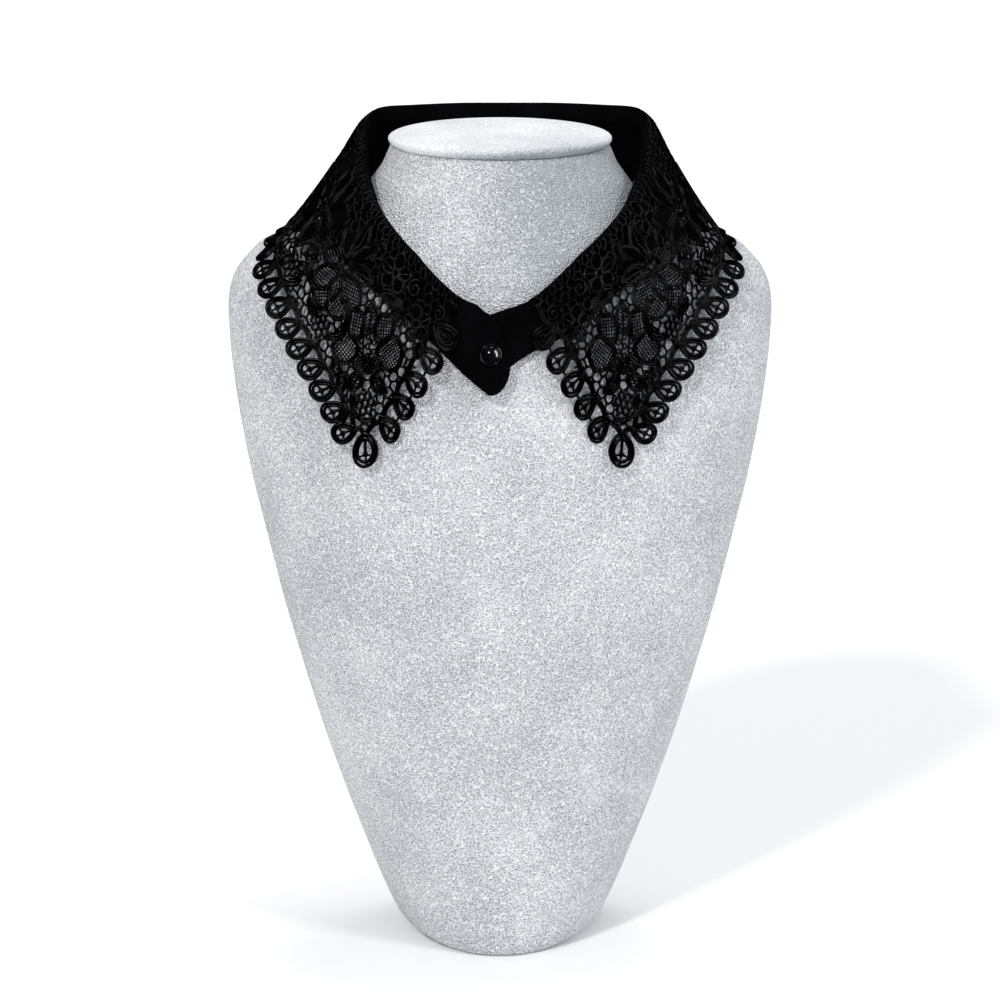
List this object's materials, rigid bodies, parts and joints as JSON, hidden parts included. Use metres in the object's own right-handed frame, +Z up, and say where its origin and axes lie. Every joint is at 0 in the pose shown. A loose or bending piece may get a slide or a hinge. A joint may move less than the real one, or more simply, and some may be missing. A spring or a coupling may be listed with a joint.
{
  "type": "lace collar on a display bust",
  "caption": "Detachable shirt collar with a fabric neckband, button front and pointed lace fall, worn by a limbless neck-and-chest display bust.",
  "frame": {"origin": "middle of the bust's flat underside, under the axis of its neck", "axes": "+Z up along the bust, -Y to the front where the collar buttons, +X to the wearer's left (right as seen from the front)"},
  "size_m": [0.2484, 0.1557, 0.3815],
  "materials": {
    "suede": "matt pale grey suede-like pile",
    "band_cloth": "matt black woven cloth",
    "lace": "black corded lace with a soft thread sheen",
    "button_gloss": "glossy black"
  },
  "bodies": {
    "root": {"display_bust": "suede", "neck_cap": "suede", "neck_band": "band_cloth", "fall_left": "lace", "fall_right": "lace", "button": "button_gloss"}
  },
  "joints": []
}
